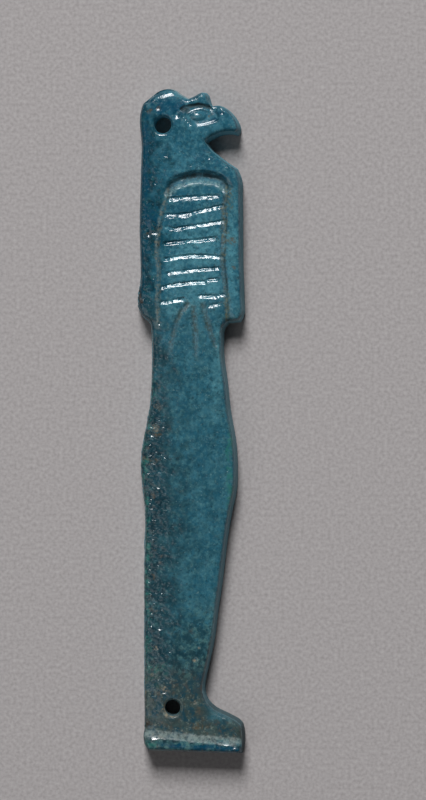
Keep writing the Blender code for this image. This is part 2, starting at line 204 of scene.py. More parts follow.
# Unevenness of the fired glaze, in millimetres: the size of the bumps and their height
WAVE_SIZE, WAVE_HEIGHT = 4.5, 0.04
DIMPLE_SIZE, DIMPLE_HEIGHTS = 0.9, {"calm": 0.012, "rough": 0.05}
GRAIN_SIZE = 0.28
GRAIN_HEIGHTS = {"calm": 0.012, "rough": 0.064, "breast": 0.01, "rim": 0.03, "crust": 0.12}
GRAIN_SQUEEZE = (0.75, 1.3, 1.0)  # grains are longer across the figure than along it
FINE_SIZE, BROAD_SIZE = 0.4, 1.6  # of what makes cuts and stains waver
NOISE_DETAIL = (0.6, 2.1, 2)  # how fast finer bumps fade, how much finer each is, and how many
SEED_SHIFT = 17.3

# Where the dark pooled glaze down the back ends, as (v, u, how far it takes to fade)
POOL_EDGE = (
    (0.0, -9.0, 2.0), (5.0, -8.0, 3.0), (10.0, -1.8, 5.0), (16.0, -1.7, 6.0), (23.0, -2.2, 6.5),
    (35.0, -1.9, 7.0), (46.0, -2.6, 7.0), (57.0, -2.8, 5.5), (64.0, -4.4, 3.0),
    (68.0, -4.9, 1.2), (76.0, -4.7, 2.6), (86.0, -4.6, 4.0), (92.0, -4.8, 3.6), (96.0, -5.6, 2.5),
    (100.0, -6.0, 3.0),
)
POOL_WAVER = 2.5
ROUGH_INSET, ROUGH_FADE = 1.1, 0.65  # in from the pool's edge, and a share of the pool's fade
# How rough and pitted the glaze is down the back, as (v, share)
ROUGH_BACK = (
    (0.0, 0.1), (7.0, 0.35), (12.0, 0.8), (20.0, 0.7), (34.0, 0.9), (48.0, 0.9), (58.0, 0.7),
    (64.0, 0.35), (68.0, 0.15), (76.0, 0.1), (82.0, 0.15), (90.0, 0.05), (100.0, 0.0),
)
# Pools, stains and bare spots: (u, v, half width, half height in millimetres)
DEEP_POOLS = (
    (-3.6, 97.1, 1.5, 0.75), (-2.1, 96.9, 0.9, 0.6), (-6.6, 91.0, 0.35, 2.6), (-6.7, 86.5, 0.5, 1.5),
    (-5.7, 80.5, 0.7, 1.2), (3.6, 95.1, 0.5, 0.3), (4.6, 96.0, 0.6, 0.35), (5.2, 7.0, 1.0, 0.35),
    (1.8, 10.6, 0.7, 1.0), (-2.6, 1.3, 1.1, 0.3), (2.0, 1.1, 1.1, 0.3), (5.6, 0.9, 1.3, 0.3),
)
RUST_SPOTS = (
    (5.0, 76.75, 0.3, 0.3), (6.5, 76.9, 0.3, 0.35), (6.65, 72.85, 0.28, 0.22), (-4.8, 48.05, 0.4, 0.4),
    (-6.05, 96.4, 0.26, 0.2), (-4.65, 96.85, 0.22, 0.2), (3.1, 95.6, 0.32, 0.18),
    (-6.1, 78.0, 0.5, 0.14), (1.6, 4.3, 0.6, 0.3), (-3.7, 7.2, 0.14, 0.5),
)
SAND_SPOTS = (
    (-3.75, 9.7, 0.3, 0.26), (0.95, 7.9, 0.26, 0.2), (-6.65, 9.35, 0.16, 0.2), (-5.1, 15.95, 0.2, 0.2),
    (1.45, 16.1, 0.14, 0.18), (0.8, 14.15, 0.2, 0.24), (-5.6, 12.0, 0.18, 0.12),
    (-5.0, 48.8, 0.2, 0.16),
)
THIN_PATCHES = (
    (6.4, 76.0, 0.8, 6.5), (4.0, 57.0, 0.6, 4.0), (1.0, 72.0, 2.6, 4.5),
    (3.6, 19.0, 0.35, 3.0), (-0.8, 99.0, 1.8, 0.35), (4.2, 98.8, 0.8, 0.5),
)
CORNER_DIRT = ((6.0, 83.6, 0.55, 1.3), (5.3, 79.5, 0.4, 2.6), (5.6, 67.0, 0.3, 1.2))
# Painted shade: a dark spot in the hollow at the eye's corner, in the crease colour
EYE_CORNER_SHADE, EYE_CORNER_SHARE = ((-0.45, 96.4, 0.35, 0.22),), 0.7
CRUSTS = (  # lumps of glaze and dirt that stand proud
    (-7.75, 69.6, 0.3, 1.3), (-7.9, 67.6, 0.25, 0.6), (-7.1, 67.9, 0.2, 0.2), (-6.2, 4.6, 0.5, 0.3),
)
GREEN_EDGES = (
    (-7.0, 46.0, 0.5, 7.0), (-6.2, 56.0, 0.4, 5.0), (-6.6, 30.0, 0.4, 8.0), (-6.5, 13.0, 0.5, 5.0),
    (-5.4, 1.6, 0.9, 0.4), (6.0, 44.0, 0.3, 5.0), (-4.6, 11.5, 0.7, 1.2),
)

# How ragged a spot is, where it ends and over how much, as shares of its half size
RAGGED_FINE, RAGGED_BROAD = 0.8, 0.6
SPOT_END, SPOT_FADE = 1.4, 0.8
# Stains, wear, painted light and painted shade along a line, in millimetres: half the width,
# and how far each takes to fade out
SLOPE_WEAR_AND_SHEEN = (0.1, 0.5)
RIM_WEAR_AND_SHEEN = (0.16, 0.2)
BACK_BORDER_WEAR = (0.1, 0.3)
FRONT_BORDER_DIRT = (0.1, 0.25)
FOLD_DIRT = (0.05, 0.4)
ARCH_SHADE_BAND = (0.1, 0.25)
BROW_SHADE_BAND = (0.14, 0.15)
UNDER_WIG = (0.2, 0.15)
HOLE_SAND = (0.1, 0.15)
STAIN_WAVER = 0.12
# How far below its line each lies
SLOPE_WEAR_AND_SHEEN_DROP, RIM_DROP, ARCH_SHADE_DROP, UNDER_WIG_DROP = 0.12, 0.7, -0.1, 0.36
HOLE_SAND_GAP = 0.12
HOLE_SAND_ARC = (195.0, 300.0, 10.0)  # start, end and step, in degrees

# Shares of a mark
AGED_LEGS, AGED_POOL = 0.2, 0.45
CLEAN_OF_AGE, CLEAN_OF_DIRT = 0.6, 0.75  # on the instep
DIRT_MATT, RIM_MATT, UNDER_WIG_MATT = 0.6, 0.3, 0.9
HEAD_CALM = 0.75
# How far a point stands out before its glaze is worn, in millimetres, and how much that wavers
WORN_HEIGHT, WORN_WAVER = 0.04, 0.02
LEVEL_PASSES = 10

# The glaze's colour, with painted light and shade where marked, from the body up: (colour,
# attribute that it keeps to or none, size of its mottling in millimetres, where in the mottling
# it starts and is full, the most it covers)
GLAZE_LAYERS = (
    ("#548F9C", "thin", 1.4, 0.26, 0.56, 0.75),
    ("#174A5D", None, 2.8, 0.44, 0.6, 0.6),  # glaze that ran together, over the mid blue
    ("#3D7383", None, 2.0, 0.46, 0.62, 0.55),  # thin glaze
    ("#15424F", None, 0.55, 0.44, 0.62, 0.5),  # fine dark mottle
    ("#50838C", None, 0.4, 0.48, 0.64, 0.45),  # fine light mottle
    ("#2C4A4E", "aged", 1.1, 0.3, 0.52, 0.75),  # a film of age on the legs and ankle
    ("#557C79", "aged", 0.5, 0.47, 0.6, 0.6),
    ("#0A2B36", "aged", 0.8, 0.46, 0.57, 0.85),
    ("#5B5649", "aged", 0.9, 0.58, 0.66, 0.4),
    ("#003C4D", "wig_pool", 1.6, 0.24, 0.48, 0.93),
    ("#2C5F60", "wig_pool", 0.6, 0.52, 0.64, 0.5),
    ("#04232B", "wig_pool", 0.6, 0.47, 0.57, 0.7),
    ("#10343F", "leg_pool", 1.3, 0.26, 0.54, 0.92),
    ("#2B6A62", "green_edge", 0.8, 0.4, 0.55, 0.65),
    ("#003E55", "deep", 0.8, 0.28, 0.46, 0.85),
    ("#0A3645", "left_edge", 0.6, 0.3, 0.5, 0.7),
    ("#0C252E", "rough", 0.5, 0.46, 0.58, 0.75),  # burst bubbles that hold dirt
    ("#6B8588", "rough", 0.24, 0.58, 0.67, 0.45),  # quartz grains, coarse enough to show
    ("#6A5B45", "rough", 1.2, 0.6, 0.66, 0.4),
    ("#13303A", None, 0.3, 0.55, 0.66, 0.55),  # pin-holes, coarse enough to show
    ("#86A5A5", None, 0.22, 0.6, 0.68, 0.3),  # painted highlights: pale specks that stand in for tiny glints on the glaze
    ("#35413F", "foot_dirt", 1.0, 0.2, 0.46, 0.8),
    ("#103A48", "foot_dirt", 0.9, 0.46, 0.58, 0.8),
    ("#4F473C", "foot_dirt", 0.7, 0.53, 0.64, 0.5),
    ("#748079", "foot_dirt", 0.35, 0.54, 0.66, 0.5),
    ("#8A9A97", "slope", 0.35, 0.35, 0.6, 0.55),  # glaze worn matt, and painted pale for the light the slope catches
    ("#7F8A86", "worn", 0.3, 0.5, 0.62, 0.12),
    ("#5F7779", "back_border", 0.3, 0.4, 0.6, 0.55),
    ("#6F6B5C", "back_border", 0.35, 0.48, 0.6, 0.5),
    # partly worn glaze, partly painted highlight: a pale band where the breast's rim catches the light
    ("#7FA09E", "rim", 0.25, 0.42, 0.58, 0.4),
    ("#1B2A2B", "arch_shade", 0.5, 0.3, 0.5, 0.8),  # painted shade in the creases under the wig's edge, under the brow and at the eye's corner
    ("#1F3029", "dirt", 0.35, 0.36, 0.6, 0.75),
    ("#525B4C", "corner_dirt", 0.25, 0.44, 0.6, 0.8),
    ("#554A38", "rust", 0.3, 0.4, 0.56, 0.7),
    ("#8D826B", "sand", 0.25, 0.44, 0.6, 0.75),
    ("#2C241C", "crust", 0.35, 0.4, 0.52, 0.85),
    ("#64A0B0", "wall", 0.9, 0.25, 0.5, 0.75),  # glaze that ran down the sides, painted paler as light on the shaded walls
    # painted light: the walls of the legs are painted paler still, as if lit
    ("#6B97A3", "leg_wall", 0.8, 0.2, 0.45, 0.7),
    # painted shade on the walls round the foot
    ("#24373A", "foot_wall", 0.6, 0.2, 0.45, 0.9),
    # painted light: the crest's walls that face the lamp are painted pale, as if lit
    ("#98A2A2", "crest_wall", 0.4, 0.3, 0.5, 0.7),
    ("#8A8069", "back", 3.0, 0.48, 0.56, 0.7),  # where it lay in the kiln
)
BODY_COLOUR = "#235A6D"
GLAZE_IOR = 1.5
GLOSS_SIZE, GLOSS_ROUGHNESS, BARE_ROUGHNESS = 0.5, (0.12, 0.27), 0.85
SKIN_SIZE, SKIN_DEPTH, SKIN_STRENGTH = 0.16, 0.04, 0.28

BOARD_COLOURS = ("#848080", "#B2AEAE")
BOARD_TOOTH = 0.35  # in millimetres. Paper's own is finer, and this shows
BOARD_SIDE = 1.0  # in metres

# Lamps: name, azimuth and elevation in degrees, distance and size in metres, and watts
LAMPS = (
    ("key", -7.0, 49.5, 1.4, (0.4, 0.57), 23.0),
    ("fill", 235.0, 55.0, 1.5, (1.0, 1.0), 3.1),
)
ROOM_LIGHT, ROOM_STRENGTH = (0.6, 0.6, 0.62, 1.0), 0.075


def linear(hex_colour):
    """An sRGB hex colour as the linear red, green, blue and alpha that a shader takes."""
    shares = [int(hex_colour[i : i + 2], 16) / 255.0 for i in (1, 3, 5)]
    return [c / 12.92 if c <= 0.04045 else ((c + 0.055) / 1.055) ** 2.4 for c in shares] + [1.0]


def add(tree, kind, inputs=None, **settings):
    """Adds a node with its settings, and gives each input a value or a link."""
    made = tree.nodes.new(kind)
    for name, value in settings.items():
        setattr(made, name, value)
    for name, value in (inputs or {}).items():
        if isinstance(value, bpy.types.NodeSocket):
            tree.links.new(value, made.inputs[name])
        else:
            made.inputs[name].default_value = value
    return made


def per_metre(size):
    """A texture's scale, for a pattern of this size in millimetres on Object coordinates."""
    return METRE / size


def smooth_step(share):
    """A rise from 0 to 1 that starts and ends level."""
    share = np.clip(share, 0.0, 1.0)
    return share * share * (3.0 - 2.0 * share)


def rise(values, start, reach):
    """0 up to the start, then rising smoothly to 1 over the reach."""
    return smooth_step((values - start) / reach)


def placed(points):
    """Places on the figure as millimetres from its middle."""
    return (np.array(points, float) - (0.0, 50.0)) * HUNDREDTH


def smooth_line(places):
    """Points close together on one smooth curve through these places."""
    points = placed(places)
    spans = np.diff(points, axis=0)
    lengths = np.linalg.norm(spans, axis=1)[:, None]
    slopes = spans / lengths
    inner = (slopes[:-1] * lengths[1:] + slopes[1:] * lengths[:-1]) / (lengths[:-1] + lengths[1:])
    tangents = np.vstack((slopes[:1], inner, slopes[-1:]))
    line = [points[0]]
    for i, length in enumerate(lengths[:, 0]):
        reach = length / 3.0
        curve = interpolate_bezier(
            Vector(points[i]),
            Vector(points[i] + tangents[i] * reach),
            Vector(points[i + 1] - tangents[i + 1] * reach),
            Vector(points[i + 1]),
            math.ceil(length / LINE_STEP) + 1,
        )
        line += [np.array(p) for p in curve[1:]]
    return np.array(line)


def lowered(line, drop):
    """The same line, this far nearer the sole."""
    return line - (0.0, drop)


def to_left(points, line):
    """How far each point is from a line of points: above 0 to its left, below 0 to its right."""
    nearest = np.full(len(points), np.inf)
    side = np.ones(len(points))
    for start, along in zip(line[:-1], np.diff(line, axis=0)):
        off = points - start
        share = np.clip(off @ along / (along @ along), 0.0, 1.0)
        gap = np.linalg.norm(off - share[:, None] * along, axis=1)
        left = along[0] * off[:, 1] - along[1] * off[:, 0] >= 0.0
        side = np.where(gap < nearest, np.where(left, 1.0, -1.0), side)
        nearest = np.minimum(nearest, gap)
    return nearest * side


def inside(points, loop):
    """Which points lie inside a closed loop: a ray to the right crosses it an odd number of times."""
    crossings = np.zeros(len(points), int)
    for (ax, ay), (bx, by) in zip(loop, np.roll(loop, -1, axis=0)):
        if ay == by:
            continue
        spans = (ay > points[:, 1]) != (by > points[:, 1])
        crossings += spans & (points[:, 0] < ax + (points[:, 1] - ay) * (bx - ax) / (by - ay))
    return crossings % 2 == 1


def unevenness(points, size, seed):
    """Smooth noise of about this size in millimetres, mostly from -0.5 to 0.5, at each point."""
    shifted = points / size + seed * SEED_SHIFT
    return np.array([noise.fractal(Vector(p), *NOISE_DETAIL) for p in shifted])


class Amulet:
    """The figure as a fine mesh, cut and worn in code as the real one was by tools and time."""

    def __init__(self):
        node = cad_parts["falcon_headed_amulet"]
        self.piece = bpy.data.objects.new("glazed_falcon_amulet", node.data.copy())
        self.piece.data.materials.clear()
        bpy.context.scene.collection.objects.link(self.piece)
        bpy.ops.object.select_all(action="DESELECT")
        self.piece.select_set(True)
        bpy.context.view_layer.objects.active = self.piece

    def make_fine(self):
        """Merges the solid's loose triangles, and rebuilds them as small even faces."""
        bpy.ops.object.mode_set(mode="EDIT")
        bpy.ops.mesh.select_all(action="SELECT")
        bpy.ops.mesh.remove_doubles(threshold=MERGE_GAP / METRE)
        bpy.ops.object.mode_set(mode="OBJECT")
        self.piece.data.remesh_voxel_size = FORM_GRAIN / METRE
        bpy.ops.object.voxel_remesh()

    def thin_plain_sides(self):
        """The walls and the back need fewer faces than the carved front."""
        bpy.ops.object.mode_set(mode="EDIT")
        bpy.ops.mesh.select_mode(type="FACE")
        bpy.ops.mesh.select_all(action="DESELECT")
        bpy.ops.object.mode_set(mode="OBJECT")
        for face in self.piece.data.polygons:
            face.select = face.normal.z < PLAIN_FACING
        bpy.ops.object.mode_set(mode="EDIT")
        bpy.ops.mesh.decimate(ratio=PLAIN_SHARE)
        bpy.ops.object.mode_set(mode="OBJECT")

    def refine_head(self):
        """The eye, the beak and the crest have finer carving, so they take smaller faces."""
        bpy.ops.object.mode_set(mode="EDIT")
        bpy.ops.mesh.select_all(action="DESELECT")
        bpy.ops.object.mode_set(mode="OBJECT")
        low, high = placed(HEAD_CARVING) / METRE
        for face in self.piece.data.polygons:
            x, y, _ = face.center
            on_head = low[0] < x < high[0] and low[1] < y < high[1]
            face.select = face.normal.z > FRONT_FACING and on_head
        bpy.ops.object.mode_set(mode="EDIT")
        bpy.ops.mesh.subdivide()
        bpy.ops.object.mode_set(mode="OBJECT")

    def soften(self, passes):
        """Rounds all edges a little, as the glaze does."""
        modifier = self.piece.modifiers.new("Soften", "SMOOTH")
        modifier.factor = 0.5
        modifier.iterations = passes
        bpy.ops.object.modifier_apply(modifier=modifier.name)

    def read(self):
        """Reads the points, in millimetres, and the way each faces."""
        mesh = self.piece.data
        co = np.empty(len(mesh.vertices) * 3, np.float32)
        mesh.vertices.foreach_get("co", co)
        self.points = co.reshape(-1, 3).astype(float) * METRE
        mesh.vertices.foreach_get("normal", co)
        self.facing = co.reshape(-1, 3).astype(float)
        self.flat = self.points[:, :2].copy()
        self.u = self.flat[:, 0] / HUNDREDTH
        self.v = self.flat[:, 1] / HUNDREDTH + 50.0
        ends = np.empty(len(mesh.edges) * 2, np.int32)
        mesh.edges.foreach_get("vertices", ends)
        self.ends = ends.reshape(-1, 2)

    def write(self):
        """Puts the moved points back, kept inside the solid's box."""
        low, high = (np.array(corner) * METRE for corner in CAD_BOX)
        kept = np.clip(self.points, low, high) / METRE
        self.piece.data.vertices.foreach_set("co", kept.astype(np.float32).ravel())
        self.piece.data.update()

    def mark(self, name, values):
        """Keeps a number at each point, which the glaze's material reads."""
        attribute = self.piece.data.attributes.new(name, "FLOAT", "POINT")
        attribute.data.foreach_set("value", values.astype(np.float32))

    def averaged(self, values, passes):
        """Each point's value averaged with those of the points next to it, again and again."""
        a, b = self.ends.T
        count = len(values)
        ties = np.maximum(np.bincount(a, minlength=count) + np.bincount(b, minlength=count), 1)
        for _ in range(passes):
            total = np.bincount(a, values[b], count) + np.bincount(b, values[a], count)
            values = total / ties
        return values

    def fill(self, cut, passes):
        """Lets the cut points rise or sink to the level of the surface round them."""
        touching = self.ends[cut[self.ends].any(axis=1)]
        used = np.unique(touching)
        where = np.zeros(len(cut), int)
        where[used] = np.arange(len(used))
        a, b = where[touching].T
        count = len(used)
        loose = cut[used]
        height = self.points[used, 2]
        ties = np.maximum(np.bincount(a, minlength=count) + np.bincount(b, minlength=count), 1)
        for _ in range(passes):
            total = np.bincount(a, height[b], count) + np.bincount(b, height[a], count)
            height = np.where(loose, total / ties, height)
        self.points[used, 2] = height

    def fill_along(self, line, width, passes):
        """Smooths away what the solid has along a line."""
        self.fill(self.band(line, width) > 0.0, passes)

    def near(self, line, reach):
        """Which points of the front are within this box round a line."""
        low, high = line.min(axis=0) - reach, line.max(axis=0) + reach
        boxed = ((self.flat > low) & (self.flat < high)).all(axis=1)
        return np.flatnonzero(boxed & self.front)

    def cut(self, line, depth, walls, wobble, fade=None):
        """Cuts a groove down a line, with walls this wide to its left and its right."""
        here = self.near(line, max(walls) + MARGIN)
        side = to_left(self.flat[here], line) + wobble * self.fine[here]
        width = np.where(side > 0.0, *walls)
        share = np.clip(1.0 - np.abs(side) / width, 0.0, 1.0)
        if fade is not None:
            share *= fade[here]
        self.points[here, 2] -= depth * (1.0 + CUT_UNEVENNESS * self.broad[here]) * share

    def dent(self, u, v, radius, depth):
        """Presses a round dent, with sides that ease in and out."""
        centre = placed((u, v))
        here = self.near(centre[None], radius)
        off = np.linalg.norm(self.flat[here] - centre, axis=1) / radius
        self.points[here, 2] -= depth * np.clip(1.0 - off**2, 0.0, 1.0) ** 2

    def band(self, line, width, softness=0.2):
        """How much each point lies within this width of a line: 1 inside, falling to 0."""
        share = np.zeros(len(self.points))
        here = self.near(line, width + softness + MARGIN)
        gap = np.abs(to_left(self.flat[here], line)) + STAIN_WAVER * self.fine[here]
        share[here] = smooth_step((width + softness - gap) / softness)
        return share

    def spots(self, places):
        """How much each point lies in one of these spots, which have ragged edges."""
        share = np.zeros(len(self.points))
        for u, v, half_width, half_height in places:
            off = (self.flat - placed((u, v))) / (half_width, half_height)
            gap = np.linalg.norm(off, axis=1) + RAGGED_FINE * self.fine + RAGGED_BROAD * self.broad
            share = np.maximum(share, smooth_step((SPOT_END - gap) / SPOT_FADE))
        return share


def recut_breast(amulet, border):
    """The breast stands lower than the wig, and is ruled with shelving strokes."""
    loop = np.vstack(border)
    within = inside(amulet.flat, loop) & amulet.front
    gap = np.abs(to_left(amulet.flat, loop))
    reach, passes = BREAST_FILL
    amulet.fill((within | (gap < reach)) & amulet.front, passes)
    sink = BREAST_SINK * smooth_step(gap / BREAST_WALL) * rise(amulet.v, *BREAST_FOOT)
    amulet.points[:, 2] -= np.where(within, sink, 0.0)
    for stroke in STROKES:
        amulet.cut(smooth_line(stroke), *STROKE_CUT)
    for edge in SECOND_EDGES:
        amulet.cut(smooth_line(edge), *SECOND_EDGE_CUT)
    back_border, arch, front_border = border
    amulet.cut(arch, *ARCH_CUT, fade=np.interp(amulet.u, *ARCH_FADE))
    amulet.cut(back_border, *BACK_BORDER_CUT)
    amulet.cut(front_border, *FRONT_BORDER_CUT)
    return within


def recut_linen(amulet):
    """Three folds hang below the breast and fade out on the hips."""
    folds = [smooth_line(fold) for fold in LINEN_FOLDS]
    for fold in folds:
        amulet.fill_along(fold, *FOLD_FILL)
    fade = rise(amulet.v, *FOLDS_END)
    for fold in folds:
        amulet.cut(fold, *FOLD_CUT, fade=fade)
    return folds


def recut_head(amulet):
    """The eye's hollow under its brow, the lid and the ball, then the beak and the crest's bevel."""
    within = to_left(amulet.flat, smooth_line(SOCKET))
    near_eye = np.linalg.norm(amulet.flat - placed(EYEBALL), axis=1) < EYE_REACH
    reach, passes = EYE_FILL
    amulet.fill((within > -reach) & near_eye & amulet.front, passes)
    beak = to_left(amulet.flat, smooth_line(FLAT_OF_BEAK)) < 0.0
    reach, passes = BEAK_FILL
    beak &= np.linalg.norm(amulet.flat - placed(MIDDLE_OF_BEAK), axis=1) < reach
    amulet.fill(beak & amulet.front, passes)
    sink = SOCKET_SINK * np.clip(within / SOCKET_WALL, 0.0, 1.0)
    amulet.points[:, 2] -= np.where(near_eye & amulet.front, sink, 0.0)
    amulet.cut(smooth_line(BROW), *BROW_CUT)
    amulet.cut(smooth_line(UPPER_LID), *UPPER_LID_CUT)
    off = (amulet.flat - placed(EYEBALL)) / (np.array(EYEBALL_HALF_SIZE) * HUNDREDTH)
    dome = np.interp((off**2).sum(axis=1), *EYEBALL_RISE)
    amulet.points[:, 2] += np.where(amulet.front, dome, 0.0)

    bevel = smooth_line(CREST_BEVEL)
    (top_width, top_slope), (fall_width, fall_slope) = BEVEL_TOP, BEVEL_FALL
    here = amulet.near(bevel, BEVEL_REACH)
    side = to_left(amulet.flat[here], bevel)
    top = top_slope * np.clip(side, 0.0, top_width)
    amulet.points[here, 2] -= top + fall_slope * np.clip(side - top_width, 0.0, fall_width)


def recut_plinth(amulet):
    """The front of the plinth rises in a worn slope to a sharp edge that catches the light."""
    slope_line = smooth_line(PLINTH_SLOPE)
    amulet.fill_along(slope_line, *PLINTH_FILL)
    amulet.cut(smooth_line(PLINTH_EDGE), *PLINTH_EDGE_CUT)
    return slope_line


def recut_shoulder(amulet):
    """A short crease runs in from the edge of the figure's back."""
    crease = smooth_line(SHOULDER_CREASE)
    amulet.fill_along(crease, *CREASE_FILL)
    amulet.cut(crease, *CREASE_CUT)


def dent_glaze(amulet):
    """Dents that show in the photo, then small ones at random, most of them down the back."""
    for place in DENTS:
        amulet.dent(*place)
    random = np.random.default_rng(RANDOM_SEED)
    for _ in range(RANDOM_DENTS):
        v = random.uniform(*DENTED_HEIGHTS)
        across = DENTED_ANYWHERE if random.random() < SHARE_ANYWHERE else DENTED_BACK
        u = random.uniform(*across)
        amulet.dent(u, v, random.uniform(*DENT_RADII), random.uniform(*DENT_DEPTHS))


def pool_glaze(amulet):
    """How deep the dark glaze lies pooled down the back, and how rough it is there."""
    v, edge, reach = np.array(POOL_EDGE).T
    edge_u, fade = np.interp(amulet.v, v, edge), np.interp(amulet.v, v, reach)
    within = edge_u - amulet.u + amulet.broad * POOL_WAVER
    pooled = smooth_step(within / fade + 0.5)
    rough = np.interp(amulet.v, *np.array(ROUGH_BACK).T)
    rough *= smooth_step((within - ROUGH_INSET) / (ROUGH_FADE * fade) + 0.5)
    return pooled, rough


def roughen(amulet, places):
    """Waves, dimples and grains in the fired glaze, each as high as its place asks."""

    def in_place(heights):
        return sum(height * places[name] for name, height in heights.items())

    waves = unevenness(amulet.points, WAVE_SIZE, 3) * WAVE_HEIGHT
    dimples = unevenness(amulet.points, DIMPLE_SIZE, 4) * in_place(DIMPLE_HEIGHTS)
    grains = unevenness(amulet.points * GRAIN_SQUEEZE, GRAIN_SIZE, 5) * in_place(GRAIN_HEIGHTS)
    amulet.points += amulet.facing * (waves + dimples + grains)[:, None]


def stand_out(amulet):
    """How far each point stands out from the surface round it."""
    level = np.column_stack([amulet.averaged(amulet.points[:, i], LEVEL_PASSES) for i in range(3)])
    return ((amulet.points - level) * amulet.facing).sum(axis=1)


def sand_round_hole(amulet):
    """Bare sandy body in a crescent on the lower side of the foot's hole."""
    arc = np.radians(np.arange(*HOLE_SAND_ARC))
    radius = FOOT_HOLE_HALF + HOLE_SAND_GAP
    crescent = placed(FOOT_HOLE) + radius * np.column_stack((np.cos(arc), np.sin(arc)))
    return amulet.band(crescent, *HOLE_SAND)


def mark_glaze(amulet, border, folds, slope_line, places, pooled):
    """Marks each place that the glaze's material colours in its own way."""
    back_border, arch, front_border = border
    rough, rim, crust = places["rough"], places["rim"], places["crust"]
    on_front = smooth_step(amulet.facing[:, 2] / ALL_FRONT_FACING)
    high = rise(amulet.v, *WAIST)
    clean_instep = rise(amulet.u, *INSTEP_BACK) * rise(amulet.v, *INSTEP_FOOT)
    clean_instep *= 1.0 - rise(amulet.v, *INSTEP_TOP)
    low = (1.0 - rise(amulet.v, *ANKLE)) * (1.0 - CLEAN_OF_AGE * clean_instep)
    foot_dirt = (1.0 - rise(amulet.v, *FOOT_TOP)) * rise(amulet.v, *PLINTH_TOP)
    foot_dirt *= 1.0 - CLEAN_OF_DIRT * clean_instep
    # The plinth's slope: worn matt glaze, painted paler as well for the light it catches
    slope = amulet.band(lowered(slope_line, SLOPE_WEAR_AND_SHEEN_DROP), *SLOPE_WEAR_AND_SHEEN)
    dirt = amulet.band(front_border, *FRONT_BORDER_DIRT)
    for fold in folds:
        dirt = np.maximum(dirt, amulet.band(fold, *FOLD_DIRT) * rise(amulet.v, *FOLDS_END))
    # Painted shade: the crease under the wig's arch, the brow's crease and the eye's corner are
    # darkened
    painted_arch_shade = amulet.band(lowered(arch, ARCH_SHADE_DROP), *ARCH_SHADE_BAND)
    painted_arch_shade *= np.interp(amulet.u, *ARCH_FADE)
    painted_crease_shade = np.maximum(painted_arch_shade, amulet.band(smooth_line(BROW), *BROW_SHADE_BAND))
    painted_crease_shade = np.maximum(painted_crease_shade, EYE_CORNER_SHARE * amulet.spots(EYE_CORNER_SHADE))
    under_wig = amulet.band(lowered(arch, UNDER_WIG_DROP), *UNDER_WIG)
    sand = np.maximum(amulet.spots(SAND_SPOTS), sand_round_hole(amulet))
    # Painted light on the crest's walls that face up the figure, towards the key lamp
    along_head = smooth_step(amulet.facing[:, 1] * 1.5)
    on_crest = (amulet.v > CREST_WALL_FOOT) * (amulet.u < 0.0)
    # Painted shade: the walls round the foot are darkened below this height
    foot_wall_top, foot_wall_fade = FOOT_WALL_TOP
    on_foot = smooth_step((foot_wall_top - amulet.v) / foot_wall_fade)
    marks = {
        # The walls' paler colours are painted light on their shaded sides
        "wall": 1.0 - on_front,
        "back": smooth_step(-amulet.facing[:, 2] / ALL_FRONT_FACING),
        "rough": rough,
        "wig_pool": pooled * high * on_front,
        "leg_pool": pooled * (1.0 - high) * on_front,
        "left_edge": smooth_step(-amulet.facing[:, 0] * 3.0) * high * on_front,
        "aged": np.maximum(low, (AGED_LEGS + AGED_POOL * pooled) * (1.0 - high)) * on_front,
        "green_edge": amulet.spots(GREEN_EDGES) * on_front,
        "deep": amulet.spots(DEEP_POOLS) * on_front,
        "worn": smooth_step((stand_out(amulet) + WORN_WAVER * amulet.fine) / WORN_HEIGHT) * on_front,
        "slope": slope * on_front,
        "back_border": amulet.band(back_border, *BACK_BORDER_WEAR) * on_front,
        "rim": rim * on_front,
        "arch_shade": painted_crease_shade * on_front,
        "leg_wall": (1.0 - on_front) * (1.0 - high),
        "foot_wall": (1.0 - on_front) * on_foot,
        "crest_wall": along_head * (1.0 - on_front) * on_crest,
        "thin": amulet.spots(THIN_PATCHES) * on_front,
        "dirt": dirt * on_front,
        "corner_dirt": amulet.spots(CORNER_DIRT) * on_front,
        "foot_dirt": foot_dirt * on_front,
        "rust": amulet.spots(RUST_SPOTS) * on_front,
        "sand": sand * on_front,
        "crust": crust,
    }
    matt = [marks[name] for name in ("wall", "arch_shade", "sand", "crust")]
    worn_matt = [slope**2, DIRT_MATT * dirt, RIM_MATT * rim, UNDER_WIG_MATT * under_wig]
    marks["bare"] = np.max(matt + worn_matt, axis=0)
    for name, values in marks.items():
        amulet.mark(name, values)


def shape_amulet():
    """Carves the figure as the solid has it, but finer, then dents, roughens and marks its glaze."""
    amulet = Amulet()
    amulet.make_fine()
    amulet.soften(2)
    amulet.thin_plain_sides()
    amulet.refine_head()
    amulet.read()
    amulet.front = (amulet.facing[:, 2] > FRONT_FACING) & (amulet.points[:, 2] > LOWEST_FRONT)
    amulet.fine = unevenness(amulet.points, FINE_SIZE, 1)
    amulet.broad = unevenness(amulet.points, BROAD_SIZE, 2)

    border = [smooth_line(line) for line in (BACK_BORDER, ARCH, FRONT_BORDER)]
    breast = recut_breast(amulet, border)
    folds = recut_linen(amulet)
    recut_head(amulet)
    slope_line = recut_plinth(amulet)
    recut_shoulder(amulet)
    dent_glaze(amulet)
    amulet.write()
    amulet.soften(1)
    amulet.read()

    pooled, rough = pool_glaze(amulet)
    places = {
        "calm": 1.0 - HEAD_CALM * rise(amulet.v, *CHIN),
        "rough": rough,
        "breast": breast,
        # The rim below the arch: worn glaze, also painted pale as a painted highlight
        "rim": amulet.band(lowered(border[1], RIM_DROP), *RIM_WEAR_AND_SHEEN),
        "crust": amulet.spots(CRUSTS),
    }
    roughen(amulet, places)
    mark_glaze(amulet, border, folds, slope_line, places, pooled)
    amulet.write()
    bpy.ops.object.shade_smooth()
    return amulet.piece


